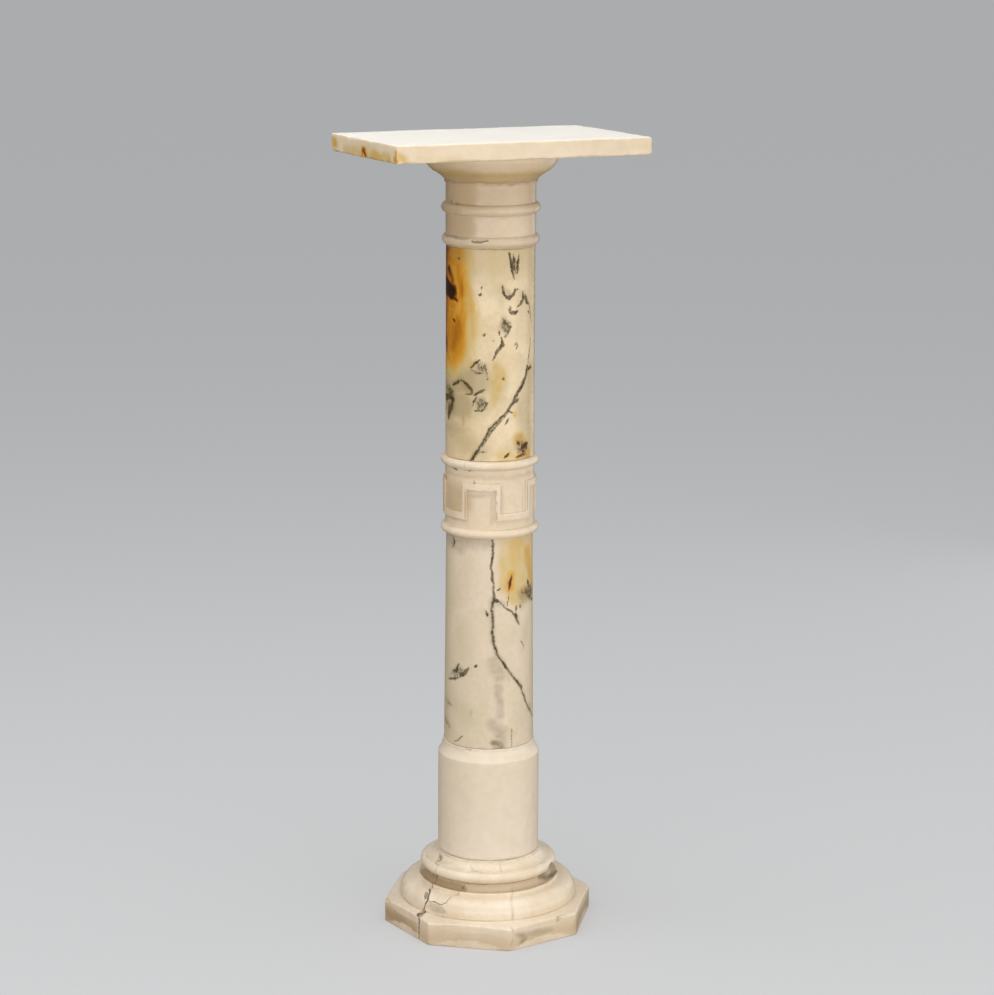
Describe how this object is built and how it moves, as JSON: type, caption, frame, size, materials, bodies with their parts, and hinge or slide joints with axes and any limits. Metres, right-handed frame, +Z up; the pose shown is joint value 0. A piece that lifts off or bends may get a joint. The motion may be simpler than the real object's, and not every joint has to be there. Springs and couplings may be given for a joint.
{
  "type": "stone pedestal column",
  "caption": "Turned Doric-style alabaster and onyx pedestal column with an octagonal moulded base, a key-pattern band and a rectangular top slab.",
  "frame": {"origin": "on the column's axis at the underside of the base, where it stands on the floor", "axes": "+Z up the column; +X along the long side of the top slab"},
  "size_m": [0.354, 0.2742, 1.05],
  "materials": {
    "cream_alabaster": "polished",
    "pale_alabaster": "satin",
    "veined_onyx": "polished",
    "amber_onyx": "polished",
    "slab_alabaster": "polished"
  },
  "bodies": {
    "root": {"base": "cream_alabaster", "drum": "pale_alabaster", "lower_shaft": "veined_onyx", "key_band": "cream_alabaster", "upper_shaft": "amber_onyx", "capital": "cream_alabaster", "top_slab": "slab_alabaster"}
  },
  "joints": []
}
